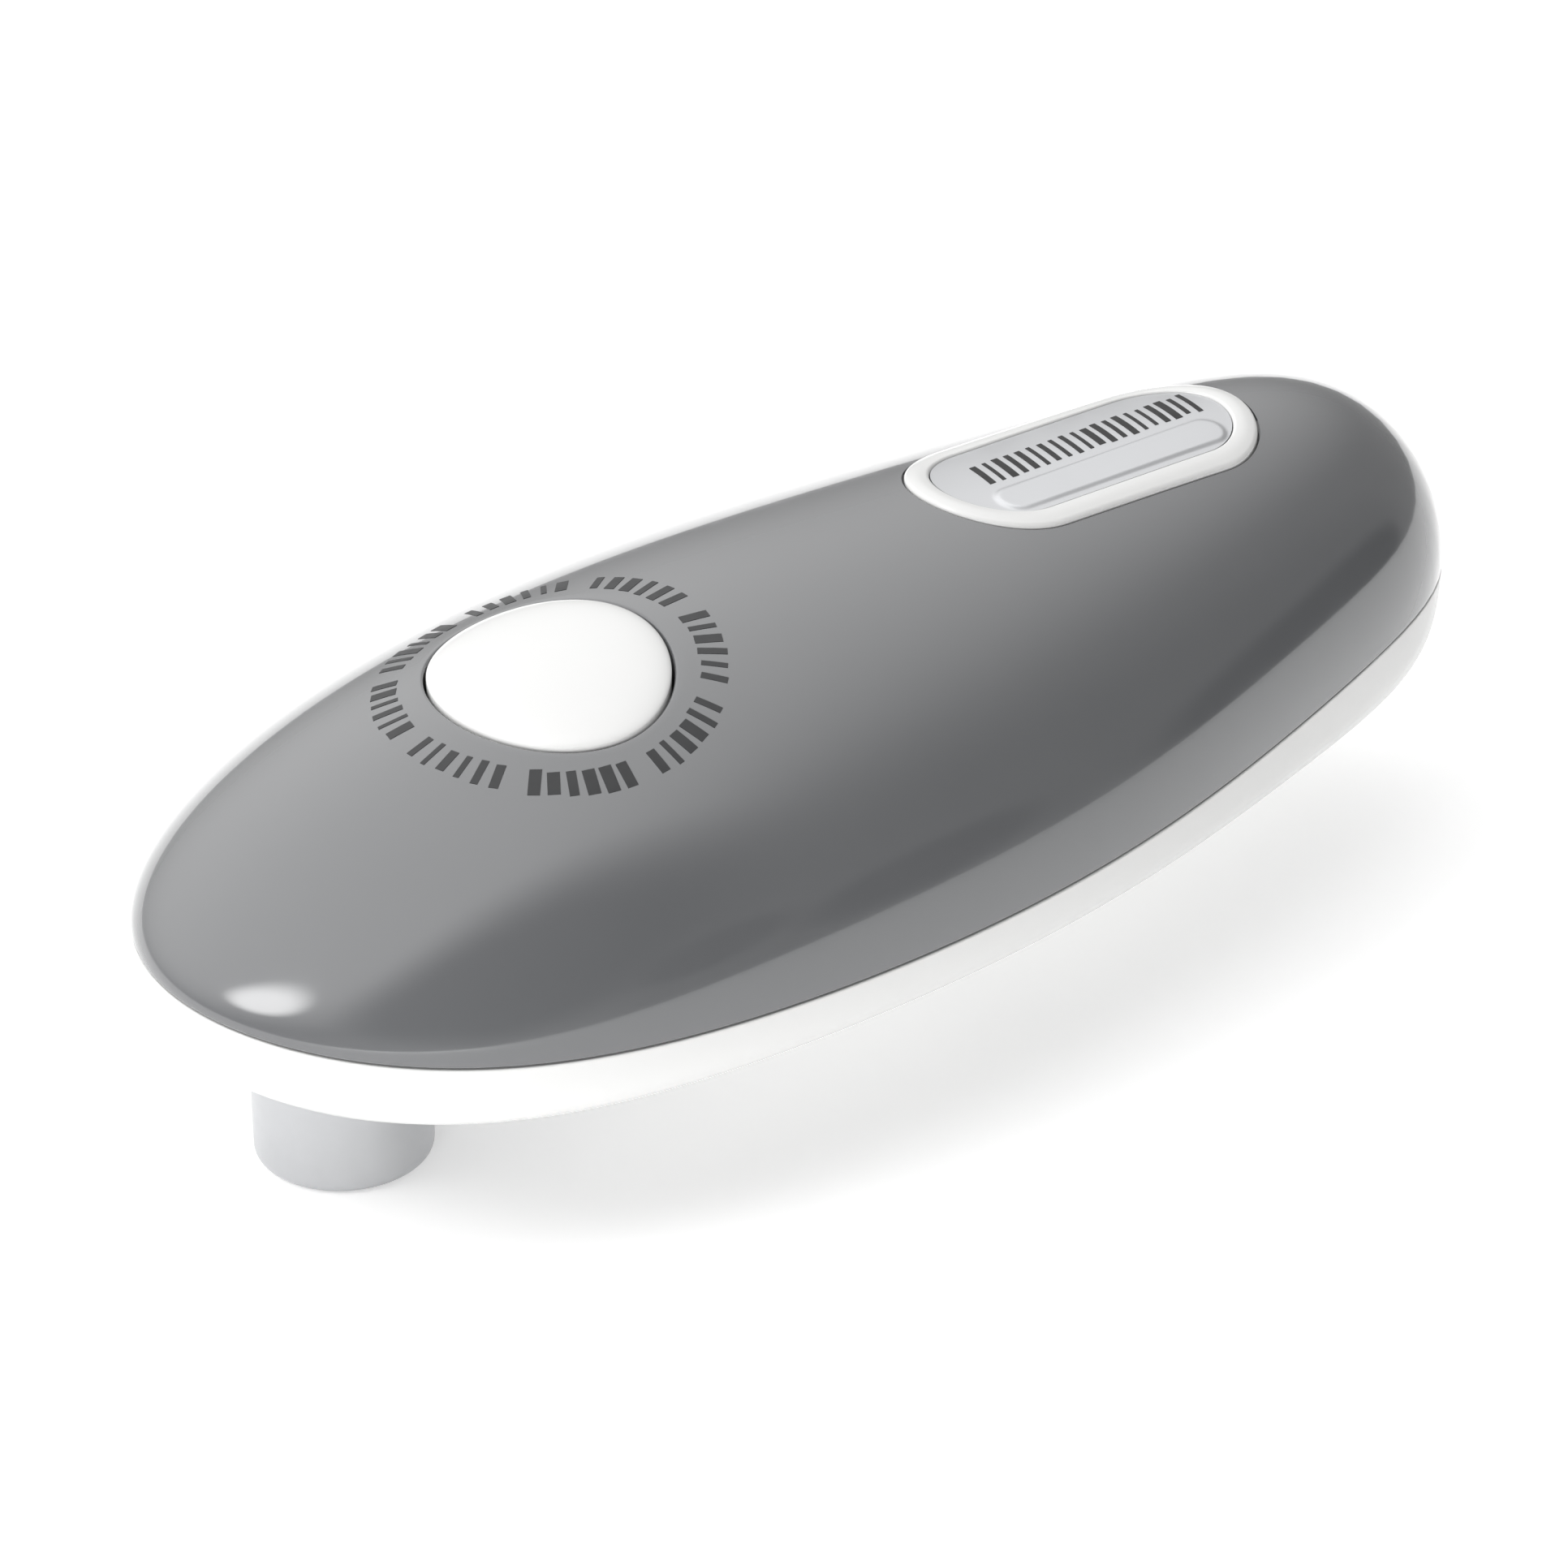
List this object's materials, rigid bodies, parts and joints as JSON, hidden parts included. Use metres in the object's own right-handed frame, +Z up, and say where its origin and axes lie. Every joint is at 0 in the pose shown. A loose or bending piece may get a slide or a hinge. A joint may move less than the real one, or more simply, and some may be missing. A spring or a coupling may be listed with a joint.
{
  "type": "electric can opener",
  "caption": "Hands-free battery can opener: domed oval body with a start button, a toothed drive wheel and a cutting disc that swings in beside it, and a lid magnet.",
  "frame": {"origin": "under the middle of the body, level with the flat end of the guide foot, the lowest point", "axes": "+X along the body to the rounded battery end, with the nip and guide foot at -X, and +Z up through the dome"},
  "size_m": [0.195, 0.0844, 0.0582],
  "materials": {
    "grey_gloss": "mid-grey ABS moulding with a polished, mirror-like surface",
    "white_gloss": "white ABS moulding, glossy",
    "button_white": "bright white polished ABS",
    "silver_plate": "satin metal-effect foil on a plastic plate",
    "satin_zinc": "satin plated zinc die casting",
    "stainless": "ground stainless steel",
    "zinc_steel": "bright zinc-plated pressed steel",
    "ground_steel": "ground bright steel bar",
    "sintered_steel": "oiled sintered steel",
    "spring_steel": "nickel-plated spring steel",
    "brass": "turned brass",
    "nylon": "natural acetal",
    "black_plastic": "black moulded plastic, fine texture",
    "board_green": "green solder mask",
    "magnet": "dark nickel-plated ferrite disc",
    "cell_sleeve": "plain printed shrink sleeve",
    "lead_red": "red PVC insulation",
    "lead_black": "black PVC insulation"
  },
  "bodies": {
    "housing": {"top_housing": "grey_gloss", "lower_housing": "white_gloss", "wear_plate": "stainless", "wear_plate_screw_1": "stainless", "wear_plate_screw_2": "stainless", "housing_screw_1": "zinc_steel", "housing_screw_2": "zinc_steel", "housing_screw_3": "zinc_steel", "housing_screw_4": "zinc_steel", "housing_screw_5": "zinc_steel", "badge_bezel": "button_white", "badge_plate": "silver_plate", "control_board": "board_green", "board_spacer_1": "nylon", "board_spacer_2": "nylon", "switch_body": "black_plastic", "gear_frame_lower": "zinc_steel", "gear_frame_upper": "zinc_steel", "frame_pillar_1": "zinc_steel", "frame_pillar_2": "zinc_steel", "frame_pillar_3": "zinc_steel", "frame_pillar_4": "zinc_steel", "middle_gear_pin": "ground_steel", "worm_wheel_pin": "ground_steel", "carrier_bush": "brass", "drive_bush": "brass", "motor_case": "zinc_steel", "motor_end_cap": "black_plastic", "magnet_holder": "white_gloss", "magnet": "magnet", "battery_cradle": "black_plastic", "aa_cell_1": "cell_sleeve", "aa_cell_2": "cell_sleeve", "contact_negative": "spring_steel", "contact_positive": "spring_steel", "contact_bridge": "spring_steel", "battery_lead_red": "lead_red", "battery_lead_black": "lead_black", "motor_lead_red": "lead_red", "motor_lead_black": "lead_black"},
    "button": {"start_button": "button_white", "button_spring": "spring_steel", "switch_plunger": "nylon"},
    "rotor": {"motor_shaft": "ground_steel", "worm": "brass"},
    "worm_wheel": {"worm_wheel": "nylon"},
    "middle_gear": {"middle_gear": "nylon"},
    "drive": {"drive_shaft": "ground_steel", "drive_wheel": "stainless", "drive_wheel_nut": "stainless", "drive_gear": "sintered_steel", "friction_washer": "brass", "drag_gear_clip": "spring_steel"},
    "drag_gear": {"drag_gear": "sintered_steel"},
    "carrier": {"cutter_carrier": "ground_steel", "carrier_gear": "sintered_steel", "guide_foot": "satin_zinc", "foot_screw": "stainless"},
    "cutter": {"cutter_wheel": "stainless"},
    "door": {"battery_door": "white_gloss"}
  },
  "joints": [
    {"name": "start_button_press", "type": "slide", "parent": "housing", "child": "button", "axis": [0, 0, -1], "range_m": [0, 0.0018], "stiffness_N_per_m": 1200, "springref_m": -0.002, "deforming": ["button_spring"]},
    {"name": "rotor_spin", "type": "hinge", "parent": "housing", "child": "rotor", "pos_m": [-0.02319, -0.01215, 0.0325], "axis": [1, 0, 0], "continuous": true},
    {"name": "worm_wheel_spin", "type": "hinge", "parent": "housing", "child": "worm_wheel", "pos_m": [-0.02319, 0.00135, 0], "axis": [0, 0, 1], "continuous": true},
    {"name": "middle_gear_spin", "type": "hinge", "parent": "housing", "child": "middle_gear", "pos_m": [-0.03913, 0.01055, 0], "axis": [0, 0, 1], "continuous": true},
    {"name": "drive_wheel_spin", "type": "hinge", "parent": "housing", "child": "drive", "pos_m": [-0.0542, 0, 0], "axis": [0, 0, 1], "continuous": true},
    {"name": "cutter_carrier_swing", "type": "hinge", "parent": "housing", "child": "carrier", "pos_m": [-0.0753, 0, 0], "axis": [0, 0, 1], "range_deg": [-90, 0]},
    {"name": "drag_gear_swing", "type": "hinge", "parent": "housing", "child": "drag_gear", "pos_m": [-0.0542, 0, 0], "axis": [0, 0, 1], "range_deg": [0, 90]},
    {"name": "cutter_wheel_spin", "type": "hinge", "parent": "carrier", "child": "cutter", "pos_m": [-0.0753, 0.0046, 0], "axis": [0, 0, 1], "continuous": true},
    {"name": "battery_door_swing", "type": "hinge", "parent": "housing", "child": "door", "pos_m": [0.0122, 0, 0.016], "axis": [0, 1, 0], "range_deg": [0, 85]}
  ],
  "couplings": [
    {"joint": "worm_wheel_spin", "follows": "rotor_spin", "ratio": -0.033333},
    {"joint": "middle_gear_spin", "follows": "rotor_spin", "ratio": 0.0092593},
    {"joint": "drive_wheel_spin", "follows": "rotor_spin", "ratio": -0.002572},
    {"joint": "drag_gear_swing", "follows": "cutter_carrier_swing", "ratio": -1}
  ]
}
